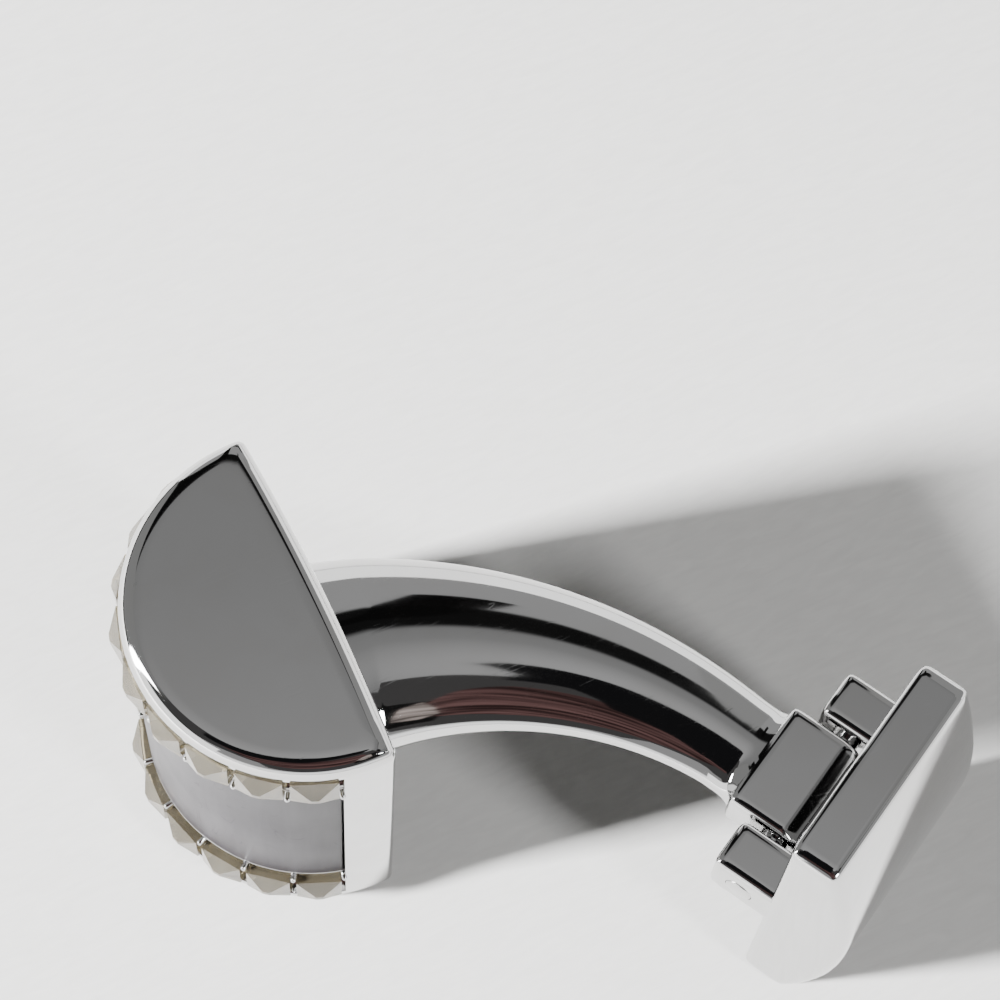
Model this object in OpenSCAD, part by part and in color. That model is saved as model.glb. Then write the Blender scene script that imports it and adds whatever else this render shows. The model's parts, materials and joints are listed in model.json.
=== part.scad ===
// Cufflink with a half-disc head, two rows of square stones beside an inlaid band,
// a curved arm, and a toggle that swings on a pin at the end of the arm.
// Millimetres, +Z up. It lies on its side, on one D-shaped end face of the head and
// on one end of the toggle. The curved front of the head looks along -X. The origin
// is on the lower end face, halfway between the front and the back of the head.

/* [Head] */
// Radius of the curved front
head_radius = 7; // [6.6:0.1:7.6]
// Distance between the two D-shaped end faces
head_height = 17; // [16.5:0.1:18.5]
// Angle from the middle of the front to each corner of the back
head_half_angle = 93; // [91:0.5:95]
// How far the middle of the back stands out beyond its corners
back_bow = 0.25; // [0.15:0.05:0.4]
// Radius of the edge round each end face
head_edge = 0.3; // [0.2:0.05:0.4]

/* [Stones and band] */
// Number of stones in each row
stones_per_row = 9; // [8:1:10]
// Angle from the middle of the front to each end of the rows
row_half_angle = 76.25; // [72:0.25:78]
// Width of plain metal between an end face and its row of stones
rim_width = 0.95; // [0.8:0.05:1.1]
// Gap between neighbouring stones, at the curved front
stone_gap = 0.22; // [0.18:0.01:0.3]
// Height of the girdle's upper edge above the curved front
girdle_rise = 0.17; // [0.1:0.01:0.25]
// Height of the crown above the girdle
crown_height = 0.4; // [0.3:0.05:0.6]
// Width of the small table on top of the crown
table_width = 0.3; // [0.2:0.05:0.5]
// Width of the rail between a row and the band, which carries the prongs
rail_width = 0.3; // [0.28:0.01:0.4]
// How far the band lies below the curved front
band_recess = 0.15; // [0.1:0.01:0.25]
// Thickness of the band
band_thickness = 0.6; // [0.5:0.05:0.8]

/* [Arm] */
// Width of the arm where it leaves the head
arm_width = 9; // [8:0.1:9.4]
// Width of the arm where its bend ends
arm_end_width = 4.4; // [4:0.1:4.6]
// Thickness of the arm where it leaves the head
arm_thickness = 4.2; // [3.4:0.1:4.4]
// Thickness of the arm where its bend ends
arm_end_thickness = 2.1; // [1.8:0.1:2.1]
// Radius of the arm's bend
arm_bend_radius = 19.2; // [18:0.1:20]
// Direction of the arm where it leaves the head, turned clockwise from +X
arm_start_angle = 9.3; // [6:0.1:12]
// Direction of the arm where its bend ends, turned clockwise from +X
arm_end_angle = 62.5; // [60:0.1:64]
// Straight length from the end of the bend to the pin
arm_straight = 3.5; // [3.2:0.1:4.5]
// How far the arm leaves the head beside the middle of its back
arm_offset = 0.33; // [0:0.01:0.5]

/* [Toggle] */
// Length of the toggle, which is upright as the cufflink lies
toggle_length = 15.8; // [15:0.1:16]
// Width of the toggle along the pin
toggle_width = 9.5; // [9.2:0.1:10]
// Thickness of the toggle in the middle of its length
toggle_thickness = 3.6; // [3.2:0.1:4]
// Thickness of the toggle at each end
toggle_end_thickness = 2; // [1.8:0.1:2.4]
// Radius of the toggle's lengthwise corners
toggle_corner = 0.5; // [0.3:0.05:0.7]
// Direction in which the toggle faces away from the arm, turned clockwise from +X
hinge_angle = 61.3; // [58:0.1:64]
// Distance from the pin to the flat inner face of the toggle
pin_to_toggle = 1.27; // [1.26:0.01:1.5]
// How far the middle of the toggle lies beside the middle of the knuckle
toggle_offset = 0.3; // [0:0.05:0.3]

/* [Hinge] */
// Diameter of the pin
pin_diameter = 1.2; // [1:0.05:1.3]
// Running clearance between the pin and the knuckle, on the radius
pin_clearance = 0.03; // [0.02:0.01:0.06]
// Radius of the knuckle round the pin
knuckle_radius = 1.15; // [1.05:0.01:1.15]
// Length of the knuckle from the pin back to its rear face
knuckle_length = 2.35; // [2.1:0.05:2.6]
// Radius of the rear corners of the knuckle
knuckle_corner = 0.35; // [0.2:0.05:0.5]
// Width of the knuckle along the pin
knuckle_width = 4.92; // [4.7:0.02:5]
// Gap between the knuckle and each ear
ear_gap = 0.29; // [0.2:0.01:0.4]
// Width of each ear along the pin
ear_width = 2.2; // [2:0.1:2.4]
// Height of each ear
ear_height = 2.6; // [2.4:0.1:2.8]
// How far each ear reaches past the pin, away from the toggle
ear_reach = 1.35; // [1.2:0.05:1.5]
// Radius of the corners of each ear
ear_corner = 0.4; // [0.3:0.05:0.5]

/* [Hidden] */
$fn = 96;

UPPER_STONES = [for (i = [1:stones_per_row]) str("upper_stone_", i)];
LOWER_STONES = [for (i = [1:stones_per_row]) str("lower_stone_", i)];

// Colours of the pieces
silver = [0.80, 0.80, 0.81];
bright_silver = [0.72, 0.73, 0.75];
inlay_grey = [0.62, 0.61, 0.64];
stone_beige = [0.76, 0.72, 0.62];

// Small sizes that the pieces share: the gap between set pieces, how deep joined
// forms run into each other, and how far a cutting form reaches past what it cuts
fit_gap = 0.03;
overlap = 0.4;
spare = 1;

// Head: the axis of the curved front, and the wide arc that bows the back
head_depth = head_radius * (1 - cos(head_half_angle)) + back_bow;
head_axis_x = head_radius - head_depth / 2;
back_x = head_depth / 2;
corner_y = head_radius * sin(head_half_angle);
back_radius = (corner_y * corner_y + back_bow * back_bow) / (2 * back_bow);

// Stones: square in plan, one to each step of the row
stone_pitch = 2 * row_half_angle / stones_per_row;
stone_size = 2 * head_radius * sin(stone_pitch / 2) - stone_gap;
table_radius = head_radius + girdle_rise + crown_height;
girdle_top_radius = head_radius + girdle_rise;
girdle_height = 0.47;
pavilion_height = 0.7;
culet_width = 0.9;
girdle_base_radius = girdle_top_radius - girdle_height;
culet_radius = girdle_base_radius - pavilion_height;
row_z = rim_width + fit_gap + stone_size / 2;

// Channels that hold the stones and the band
channel_half = stone_size / 2 + fit_gap;
channel_floor_half = culet_width / 2 + fit_gap;
channel_floor_radius = culet_radius - fit_gap;
channel_end_gap = 0.3;
channel_end_angle = row_half_angle + channel_end_gap;
rail_z = row_z + channel_half + rail_width / 2;
band_low = rail_z + rail_width / 2 + fit_gap;
band_high = head_height - band_low;
band_outer_radius = head_radius - band_recess;
band_inner_radius = band_outer_radius - band_thickness;
prong_radius = 0.12;
prong_rise = 0.24;
prong_root = 1;

// Arm: a bend from the back of the head, then a straight to the pin
arm_z = toggle_length / 2;
chord_x = back_x - back_bow;
bend_angle = arm_end_angle - arm_start_angle;
bend_length = arm_bend_radius * bend_angle * PI / 180;
bend_center = [chord_x - arm_bend_radius * sin(arm_start_angle),
               arm_offset - arm_bend_radius * cos(arm_start_angle)];
bend_finish = bend_center + arm_bend_radius * [sin(arm_end_angle), cos(arm_end_angle)];
straight_direction = [cos(arm_end_angle), -sin(arm_end_angle)];
pin_center = bend_finish + arm_straight * straight_direction;
arm_root = 1.2;
arm_in_knuckle = 0.75;
arm_stop = bend_length + arm_straight - knuckle_length + arm_in_knuckle;
arm_rings = 26;
arm_sides = 28;
width_fade = 1.2;
thickness_fade = 1.8;

// Toggle: the circle of its outer face
toggle_sag = toggle_thickness - toggle_end_thickness;
toggle_outer_radius = (toggle_length * toggle_length / 4 + toggle_sag * toggle_sag) / (2 * toggle_sag);
ear_middle = knuckle_width / 2 + ear_gap + ear_width / 2;
hinge_width = knuckle_width + 2 * (ear_gap + ear_width);
pin_radius = pin_diameter / 2;
pin_overhang = 0.06;

// Share of the bend that is still to come, at the length s from the head's back
function bend_left(s) = max(0, min(1, 1 - s / bend_length));

function arm_heading(s) = arm_end_angle - bend_angle * bend_left(s);

// Point of the arm's centre line
function arm_point(s) =
    s < 0 ? [chord_x, arm_offset] + s * [cos(arm_start_angle), -sin(arm_start_angle)]
    : s < bend_length ? bend_center + arm_bend_radius * [sin(arm_heading(s)), cos(arm_heading(s))]
    : bend_finish + (s - bend_length) * straight_direction;

function arm_half_width(s) =
    (arm_end_width + (arm_width - arm_end_width) * pow(bend_left(s), width_fade)) / 2;

function arm_half_thickness(s) =
    (arm_end_thickness + (arm_thickness - arm_end_thickness) * pow(bend_left(s), thickness_fade)) / 2;

// One elliptical ring of the arm, square to its centre line
function arm_ring(s) = [for (k = [0:arm_sides - 1])
    let (a = 360 * k / arm_sides,
         side = arm_half_width(s) * cos(a),
         up = arm_half_thickness(s) * sin(a),
         p = arm_point(s),
         h = arm_heading(s))
    [p[0] + side * sin(h), p[1] + side * cos(h), arm_z + up]];

// Rounded corner of the head's profile: points of a quarter circle about (r, z)
function edge_points(r, z, from) = [for (a = [from:22.5:from + 90])
    [r + head_edge * cos(a), z + head_edge * sin(a)]];

// Places its children at the hinge: X away from the arm, Y along the pin, Z up
module at_hinge() {
    translate([pin_center[0], pin_center[1], arm_z])
        rotate([0, 0, -hinge_angle])
            children();
}

// Turns a profile of radius and height round the axis of the curved front
module turn_front(half_angle) {
    translate([head_axis_x, 0, 0])
        rotate([0, 0, 180 - half_angle])
            rotate_extrude(angle = 2 * half_angle)
                children();
}

// Places its children on the curved front, with Z outwards and X up
module on_front(angle, z) {
    translate([head_axis_x, 0, z])
        rotate([0, 0, 180 + angle])
            rotate([0, 90, 0])
                children();
}

// Half-disc block with rounded edges round its end faces and a bowed back
module head_block() {
    low = edge_points(head_radius - head_edge, head_edge, -90);
    high = edge_points(head_radius - head_edge, head_height - head_edge, 0);
    intersection() {
        translate([head_axis_x, 0, 0])
            rotate_extrude()
                polygon(concat([[0, 0]], low, high, [[0, head_height]]));
        translate([back_x - back_radius, 0, -spare])
            cylinder(r = back_radius, h = head_height + 2 * spare, $fn = 360);
    }
}

// Channel for one row: square-walled for the girdles, sloping in for the pavilions
module stone_channel(z) {
    turn_front(channel_end_angle)
        polygon([[head_radius + spare, z - channel_half],
                 [girdle_base_radius, z - channel_half],
                 [channel_floor_radius, z - channel_floor_half],
                 [channel_floor_radius, z + channel_floor_half],
                 [girdle_base_radius, z + channel_half],
                 [head_radius + spare, z + channel_half]]);
}

// Recess for the band, and the step that lowers the rails to its level
module band_channel() {
    turn_front(channel_end_angle)
        translate([band_inner_radius - fit_gap, band_low - fit_gap])
            square([band_thickness + band_recess + spare, band_high - band_low + 2 * fit_gap]);
    turn_front(channel_end_angle)
        translate([band_outer_radius, row_z])
            square([band_recess + spare, head_height - 2 * row_z]);
}

// Prongs stand on the rail at the corners of the stones
module prong_row(z) {
    for (i = [0:stones_per_row])
        on_front(-row_half_angle + i * stone_pitch, z)
            translate([0, 0, head_radius - prong_root])
                cylinder(r = prong_radius, h = prong_root + prong_rise, $fn = 24);
}

// Curved arm of elliptical section, running into the head and into the knuckle
module arm_sweep() {
    step = (arm_stop + arm_root) / (arm_rings - 1);
    points = [for (i = [0:arm_rings - 1]) each arm_ring(i * step - arm_root)];
    sides = [for (i = [0:arm_rings - 2], k = [0:arm_sides - 1])
        let (a = i * arm_sides + k, b = i * arm_sides + (k + 1) % arm_sides)
        [b, a, a + arm_sides, b + arm_sides]];
    root_cap = [[for (k = [0:arm_sides - 1]) k]];
    end_cap = [[for (k = [arm_sides - 1:-1:0]) (arm_rings - 1) * arm_sides + k]];
    polyhedron(points = points, faces = concat(sides, root_cap, end_cap), convexity = 4);
}

// A bar along Y, as long as its width says, from an outline in X and Z
module along_y(width) {
    rotate([90, 0, 0])
        linear_extrude(height = width, center = true)
            children();
}

// Rectangle with round corners, from its low corner
module round_rectangle(width, height, corner) {
    for (x = [corner, width - corner], y = [corner, height - corner])
        translate([x, y])
            circle(r = corner, $fn = 32);
    translate([corner, 0])
        square([width - 2 * corner, height]);
    translate([0, corner])
        square([width, height - 2 * corner]);
}

// Knuckle: a bar across the end of the arm, with a round nose about the pin
module knuckle_block() {
    at_hinge()
        along_y(knuckle_width) {
            circle(r = knuckle_radius);
            translate([-knuckle_length, -knuckle_radius])
                round_rectangle(knuckle_length + knuckle_corner, 2 * knuckle_radius, knuckle_corner);
        }
}

// Head, arm and knuckle, soldered into one piece
module link_frame() {
    color(silver)
        difference() {
            union() {
                difference() {
                    head_block();
                    stone_channel(row_z);
                    stone_channel(head_height - row_z);
                    band_channel();
                }
                prong_row(rail_z);
                prong_row(head_height - rail_z);
                arm_sweep();
                knuckle_block();
            }
            at_hinge()
                rotate([90, 0, 0])
                    cylinder(r = pin_radius + pin_clearance, h = knuckle_width + spare, center = true);
        }
}

// Polished inlay that follows the curved front between the rows
module center_band() {
    color(inlay_grey)
        turn_front(row_half_angle)
            translate([band_inner_radius, band_low])
                square([band_thickness, band_high - band_low]);
}

// Outline of a stone from the side: culet, pavilion, girdle, crown and table
module stone_outline() {
    polygon([[-culet_width / 2, culet_radius],
             [culet_width / 2, culet_radius],
             [stone_size / 2, girdle_base_radius],
             [stone_size / 2, girdle_top_radius],
             [table_width / 2, table_radius],
             [-table_width / 2, table_radius],
             [-stone_size / 2, girdle_top_radius],
             [-stone_size / 2, girdle_base_radius]]);
}

// Square stone with a low pyramid crown, which has the same outline from two sides
module stone(angle, z) {
    color(stone_beige)
        on_front(angle, z)
            intersection() {
                along_y(stone_size + spare)
                    stone_outline();
                rotate([0, 0, 90])
                    along_y(stone_size + spare)
                        stone_outline();
            }
}

// Angle of one stone on the front, counted from the lower end of the row
function stone_angle(i) = -row_half_angle + (i - 0.5) * stone_pitch;

// Profile of the toggle: a flat inner side, and an outer side on a wide arc
module toggle_profile() {
    intersection() {
        translate([pin_to_toggle, -toggle_length / 2])
            round_rectangle(toggle_thickness + toggle_corner, toggle_length, toggle_corner);
        translate([pin_to_toggle + toggle_thickness - toggle_outer_radius, 0])
            circle(r = toggle_outer_radius, $fn = 240);
    }
}

// Toggle: a bar with a flat inner face and a round outer one, and two ears for the pin
module toggle() {
    color(bright_silver)
        at_hinge()
            difference() {
                union() {
                    translate([0, -toggle_offset, 0])
                        along_y(toggle_width)
                            toggle_profile();
                    for (side = [-1, 1])
                        translate([-ear_reach, side * ear_middle, -ear_height / 2])
                            along_y(ear_width)
                                round_rectangle(ear_reach + pin_to_toggle + overlap,
                                                ear_height, ear_corner);
                }
                rotate([90, 0, 0])
                    cylinder(r = pin_radius + pin_clearance / 2, h = hinge_width + spare, center = true);
            }
}

// Pin through both ears and the knuckle
module hinge_pin() {
    color(bright_silver)
        at_hinge()
            rotate([90, 0, 0])
                cylinder(r = pin_radius, h = hinge_width + 2 * pin_overhang, center = true);
}

link_frame();
center_band();
toggle();
hinge_pin();
for (i = [1:stones_per_row]) {
    stone(stone_angle(i), head_height - row_z);
    stone(stone_angle(i), row_z);
}
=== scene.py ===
"""Cufflink with a half-disc head, stone rows beside an inlaid band, a curved arm and a toggle.

Sizes are in millimetres, as in the part's source, and each finished mesh is scaled to metres.
The cufflink lies on its side, on one end face of its head and on one end of its toggle.
"""
import json
import math

import bmesh
import bpy
from mathutils import Matrix, Vector


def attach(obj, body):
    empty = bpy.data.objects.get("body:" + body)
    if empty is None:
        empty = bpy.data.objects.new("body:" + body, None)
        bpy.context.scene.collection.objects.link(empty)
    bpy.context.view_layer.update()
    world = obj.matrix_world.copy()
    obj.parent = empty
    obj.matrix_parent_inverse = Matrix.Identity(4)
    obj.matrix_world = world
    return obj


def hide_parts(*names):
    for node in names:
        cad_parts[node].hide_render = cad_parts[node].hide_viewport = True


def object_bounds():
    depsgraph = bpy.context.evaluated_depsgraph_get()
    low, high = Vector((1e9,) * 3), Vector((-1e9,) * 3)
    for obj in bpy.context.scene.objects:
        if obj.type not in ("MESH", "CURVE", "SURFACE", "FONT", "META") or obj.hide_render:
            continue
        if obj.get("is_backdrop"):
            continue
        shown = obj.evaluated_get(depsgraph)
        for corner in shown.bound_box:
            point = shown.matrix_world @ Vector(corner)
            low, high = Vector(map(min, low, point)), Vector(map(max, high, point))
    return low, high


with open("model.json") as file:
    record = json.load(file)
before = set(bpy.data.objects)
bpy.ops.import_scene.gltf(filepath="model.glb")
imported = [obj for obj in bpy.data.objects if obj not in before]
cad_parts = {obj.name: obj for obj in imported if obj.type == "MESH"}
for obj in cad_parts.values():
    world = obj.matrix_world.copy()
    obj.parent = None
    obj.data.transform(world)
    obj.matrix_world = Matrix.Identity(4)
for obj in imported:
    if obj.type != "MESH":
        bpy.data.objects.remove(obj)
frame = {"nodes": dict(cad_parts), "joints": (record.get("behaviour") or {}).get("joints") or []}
cad_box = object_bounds()

MM = 0.001
LINK = "link"
TOGGLE = "toggle"

# Head: a half disc with level end faces, a round front and a slightly bowed back. Front and back
# stand a little proud of the solids.
SOLID_RADIUS = 7.0
HEAD_PROUD = 0.12
HEAD_RADIUS = SOLID_RADIUS + HEAD_PROUD
HEAD_HEIGHT = 17.0
HEAD_AXIS_X = 3.192
BACK_X = 3.93
BACK_BOW = 0.25
CORNER_ANGLE = 93.0
BACK_HALF = HEAD_RADIUS * math.sin(math.radians(CORNER_ANGLE))
HEAD_CORNER = 0.36
CORNER_SEARCH = (60.0, 98.0)
FINE_EDGE = 0.045

# Rim of an end face: its rounding, downwards, inwards and in degrees, before the crown begins
RIM_DROP = 0.58
RIM_INSET = 0.62
RIM_TURN = 62.0

# Crown of an end face: a very shallow slope from the flat middle down to the rim. Its rings
# close in on a point of the X axis, slowly at first.
CROWN_DROP = 0.11
FRONT_CROWN = 0.95
BACK_CROWN = 1.0
CROWN_REACH = 0.36
CROWN_CENTRE_X = 0.6
CROWN_PACE = 1.3
SETTLE_PACE = 4.0

# Turn of the rim's inner line at the two corners: radius in rim widths, and growth inwards
CORNER_START = 0.6
CORNER_SPREAD = 1.2

# Stones, and the channels that hold them
STONES_PER_ROW = 9
ROW_HALF_ANGLE = 76.25
STONE_GAP = 0.22
STONE_SIZE = (2 * SOLID_RADIUS * math.sin(math.radians(ROW_HALF_ANGLE / STONES_PER_ROW))
              - STONE_GAP)
CULET_WIDTH = 0.9
SKIN_GAP = 0.0005
FACET_EDGE = 0.012
FIT_GAP = 0.03
RIM_WIDTH = 0.95
CHANNEL_HALF = STONE_SIZE / 2 + FIT_GAP
CHANNEL_FLOOR_HALF = CULET_WIDTH / 2 + FIT_GAP
CHANNEL_WALL_RADIUS = 6.7
CHANNEL_FLOOR_RADIUS = 5.97
CHANNEL_END_GAP = 0.3
CHANNEL_END_ANGLE = ROW_HALF_ANGLE + CHANNEL_END_GAP
ROW_Z = RIM_WIDTH + CHANNEL_HALF

# Rails beside the band, the band itself, and the prongs that stand on the rails
RAIL_WIDTH = 0.3
RAIL_Z = ROW_Z + CHANNEL_HALF + RAIL_WIDTH / 2
BAND_RECESS = 0.15
RAIL_RADIUS = SOLID_RADIUS - BAND_RECESS
BAND_LOW = RAIL_Z + RAIL_WIDTH / 2 + FIT_GAP
BAND_THICKNESS = 0.6
BAND_INNER_RADIUS = RAIL_RADIUS - BAND_THICKNESS
BAND_EDGE = 0.05
PRONG_RADIUS = 0.12
PRONG_RISE = 0.24
PRONG_TOP = SOLID_RADIUS + PRONG_RISE
PRONG_LENGTH = 0.7

# Arm: a bend from the head's back and a straight end, with its shoulder at the knuckle
ARM_Z = 7.9
ARM_BEND_RADIUS = 19.2
ARM_BEND_CENTRE = (0.455, -18.618)
ARM_START_ANGLE = 9.3
ARM_END_ANGLE = 62.5
ARM_STRAIGHT = 3.5
ARM_WIDTH = 9.0
ARM_END_WIDTH = 4.4
ARM_THICKNESS = 4.2
ARM_END_THICKNESS = 2.1
WIDTH_FADE = 1.2
THICKNESS_FADE = 1.8
ARM_SQUARENESS = 2.0
SHOULDER = 0.9
SHOULDER_SINK = 0.35
SHOULDER_SIDE_GAP = 0.05
SHOULDER_TOP_GAP = 0.03
SHOULDER_SQUARENESS = 2.2

# Ends of the arm: where it leaves the back, how soon it faces its own way, how deep each end
# is sunk in, and the fillet at its root
BACK_START = 0.37
TURN_IN = 2.0
HEAD_SINK = 0.6
KNUCKLE_SINK = 1.2
ROOT_FILLET = 0.5
FILLET_LAP = 0.01

# Hinge and toggle, in the hinge's own directions: out from the arm, along the pin, and up
KNUCKLE_RADIUS = 1.15
KNUCKLE_LENGTH = 2.35
KNUCKLE_HALF = 2.46
KNUCKLE_EDGE = 0.5
EAR_GAP = 0.29
EAR_WIDTH = 2.2
EAR_INNER = KNUCKLE_HALF + EAR_GAP
EAR_OUTER = EAR_INNER + EAR_WIDTH
EAR_REACH = 1.35
EAR_ROOT = 0.8
EAR_HALF_HEIGHT = 1.3
EAR_EDGE = 0.5
PIN_RADIUS = 0.6
PIN_OVERHANG = 0.06
PIN_HALF = EAR_OUTER + PIN_OVERHANG
PIN_EDGE = 0.12
PIN_GAP = 0.01
BORE_OVERRUN = 1.0
TOGGLE_INNER = 1.27
TOGGLE_THICKNESS = 3.6
TOGGLE_END_THICKNESS = 2.0
TOGGLE_HALF_LENGTH = 7.9
TOGGLE_HALF_WIDTH = 4.75
TOGGLE_OFFSET = -0.3
TOGGLE_END_EDGE = 0.7
TOGGLE_CORNER_SHARE = 0.5
BAR_CORNER_SHARE = 0.9
SOFT_SHOULDER = 0.66

# Steps of the curves, segments of the rounded edges and rounds of the searches
CHANNEL_STEPS = 153
SIDE_STEPS = 14
CORNER_STEPS = 12
BACK_STEPS = 24
RIM_STEPS = 16
CROWN_STEPS = 34
BAND_STEPS = 150
ARM_SIDES = 96
ARM_STEPS = 150
FILLET_STEPS = 12
NOSE_STEPS = 48
TOGGLE_STEPS = 30
ROD_STEPS = 64
PRONG_SIDES = 20
PRONG_RINGS = 14
SOFT_SEGMENTS = 10
PIN_SEGMENTS = 4
FINE_SEGMENTS = 3
CORNER_ROUNDS = 40
SHARE_ROUNDS = 12

# Angles and gaps that sort the edges, and the pull of flat faces on the shading
SHARP_ANGLE = math.radians(30)
SHADED_SHARP_ANGLE = math.radians(35)
FACET_ANGLE = math.radians(8)
MERGE_GAP = 1e-4
FLAT_WEIGHT = 80

# Colours of the finishes, each from its darker to its lighter tone
# The first silver tone is painted shade: the silver's colour for light that has already met the
# paper
SILVER_PAINTED_SHADE = (0.2, 0.2, 0.2)
SMUDGED_SILVER = (0.60, 0.595, 0.59)
CLEAN_SILVER = (0.62, 0.62, 0.62)
DARK_INLAY = (0.034, 0.032, 0.036)
LIGHT_INLAY = (0.052, 0.049, 0.0545)
DARK_STONE = (0.35, 0.30, 0.20)
LIGHT_STONE = (0.60, 0.54, 0.40)
DARK_PAPER = (0.78, 0.775, 0.762)
LIGHT_PAPER = (0.83, 0.826, 0.812)

# Wear: two runs of hairline scratches by their turn in degrees and their stretch
SCRATCH_RUNS = (((0, 0, 31), (9.0, 0.45, 2.0)), ((20, 0, -58), (7.0, 0.4, 2.5)))
HAIRLINE = 0.006
GRAIN_SHARE = 0.12
WEAR_BUMP = 0.12
WEAR_DEPTH = 0.002
PAPER_BUMP = 0.25
PAPER_DEPTH = 0.05

# Camera and floor: places in metres, lens and sensor in millimetres
CAMERA_PLACE = Vector((-12.652, -39.22, 126.38)) * MM
CAMERA_FORWARD = Vector((0.2031, 0.3337, -0.9206))
CAMERA_UP = Vector((0.3864, 0.8365, 0.3885))
CAMERA_LENS = 112.0
CAMERA_SENSOR = 36.0
CAMERA_RANGE = (0.001, 10.0)
FLOOR_HALF = 3.0

# Studio cards hang on a dome round the cufflink and show only in reflections. Each outline is
# in degrees from straight up: the first number towards +X, the second towards +Y.
STUDIO_CENTRE = Vector((10.0, -5.0, 8.0)) * MM
CARDS = (
    # name, dome radius in metres, colour, strength, outline
    ("upper flag", 0.42, (1.0, 1.0, 1.1), 0.010,
     ((-34, -4), (-16, 6), (2, 9), (6, 5), (8, 4), (10, 1), (10, -1), (6, -5), (4, -10), (1, -7),
      (-3, -9), (-8, -13), (-16, -12), (-24, -13))),
    ("warm card", 0.46, (1.0, 0.55, 0.53), 0.16,
     ((-30, -6), (-12, -8), (-4, -10), (1, -14), (3, -20), (3, -30), (2, -40), (-4, -52),
      (-18, -52), (-30, -44), (-36, -32), (-33, -16))),
    ("pale card", 0.45, (1.0, 0.86, 0.80), 0.62,
     ((4, -30), (6, -34), (5, -50), (-1, -54), (-4, -44), (1, -36))),
    ("hinge flag", 0.60, (1.0, 1.0, 1.0), 0.006,
     ((7.2, 27), (4.2, 39.8), (0, 48), (-6.3, 65.7), (-10.2, 77.3), (-13.5, 76.8), (-9, 51),
      (-4.9, 27.6))),
    ("dark card", 0.85, (1.0, 0.97, 0.97), 0.075,
     ((6, -8), (14, -10), (22, -24), (24, -44), (10, -64), (-10, -74), (-36, -66), (-46, -50),
      (-38, -34), (-40, -22), (-60, -12), (-62, 14), (-44, 24), (-26, 20), (-10, 12), (-4, 2))),
)
STREAKED = ("warm card", "pale card")
STREAK_SCALE = (7.0, 7.0, 60.0)
STREAK_SHADES = (0.22, 1.35)

# White walls and dark flags stand round the cufflink like strips of a dome, and the metal's
# rims reflect them
WALLS = (
    # name, distance in metres, azimuths, heights in degrees, brightness
    ("front wall", 0.72, (-30.0, 112.0), (-1.0, 22.0), 2.25),
    ("left wall", 0.72, (112.0, 205.0), (-1.0, 30.0), 2.25),
    ("right flag", 0.62, (-95.0, -58.0), (29.0, 60.0), 0.01),
    ("back wall", 0.64, (-30.0, 36.0), (26.0, 62.0), 0.36),
    ("notch flag", 0.66, (49.0, 56.0), (41.0, 57.0), 0.006),
    ("corner flag", 0.64, (71.0, 82.0), (18.0, 60.0), 0.006),
    ("grey wall", 0.62, (98.0, 152.0), (7.0, 64.0), 0.30),
    ("grey wall's foot", 0.62, (98.0, 152.0), (-1.0, 7.0), 0.01),
)
WALL_COLOUR = (1.0, 1.0, 0.99)
WALL_STEPS = 24

# A glow near each lamp gives the highlights on the metal their size
GLOWS = (
    # name, azimuth, height, distance in metres, width, tallness, brightness
    ("key glow", 155.5, 28.0, 0.55, 9.0, 52.0, 30.0),
    ("side glow", -62.0, 42.0, 0.55, 18.0, 20.0, 30.0),
)
GLOW_COLOUR = (1.0, 1.0, 1.0)
GLOW_SIDES = 32
GLOW_SQUARENESS = 4.0

LAMPS = (
    # name, azimuth, height in degrees, distance in metres, width and tallness in degrees, light,
    # seen in mirrors
    ("key lamp", 168.0, 25.0, 0.6, 6.0, 11.0, 21.0, False),
    ("side lamp", -65.0, 42.0, 0.6, 8.0, 8.0, 1.65, True),
)

# Brightness of the studio in mirrors, from the horizon up to straight overhead
MIRRORED = (
    # sine of the height, brightness
    (0.16, 2.1), (0.27, 0.42), (0.752, 0.42), (0.77, 0.01), (0.876, 0.01), (0.892, 0.27),
    (0.93, 0.30), (0.98, 0.48),
)
DOME_HIGH = 0.2
DOME_TINT = (1.01, 1.0, 0.98)
BLACK = (0.0, 0.0, 0.0)

# Hinge's place and directions, from the frame
hinge = frame["joints"][0]
hinge_point = Vector(hinge["pos_m"]) / MM
pin_direction = Vector(hinge["axis"]).normalized()
out_direction = pin_direction.cross(Vector((0, 0, 1)))
HINGE_PLACE = Matrix.Translation(hinge_point) @ Matrix(
    (out_direction, pin_direction, Vector((0, 0, 1)))
).transposed().to_4x4()


# Points and directions


def limited(value):
    """Value held between 0 and 1."""
    return max(0.0, min(1.0, value))


def polar(radius, degrees, centre=(0.0, 0.0)):
    """Point of a circle, counted from the first direction towards the second."""
    turn = math.radians(degrees)
    return (centre[0] + radius * math.cos(turn), centre[1] + radius * math.sin(turn))


def arc(centre, radius, start, stop, steps):
    """Points of an arc, both ends included."""
    return [polar(radius, start + (stop - start) * i / steps, centre) for i in range(steps + 1)]


def squared_oval(turn, squareness):
    """Point of a unit circle, which turns squarer as the squareness rises from 2."""
    return [math.copysign(abs(part) ** (2 / squareness), part)
            for part in (math.cos(turn), math.sin(turn))]


def direction(azimuth, height):
    """Unit vector at an azimuth and a height over the horizon, both in degrees."""
    upright = math.radians(height)
    return Vector((*polar(math.cos(upright), azimuth), math.sin(upright)))


def on_front(angle, radius, z):
    """Point at an angle round the curved front, counted from its middle."""
    x, y = polar(-radius, angle)
    return (HEAD_AXIS_X + x, y, z)


# Mesh helpers


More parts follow.
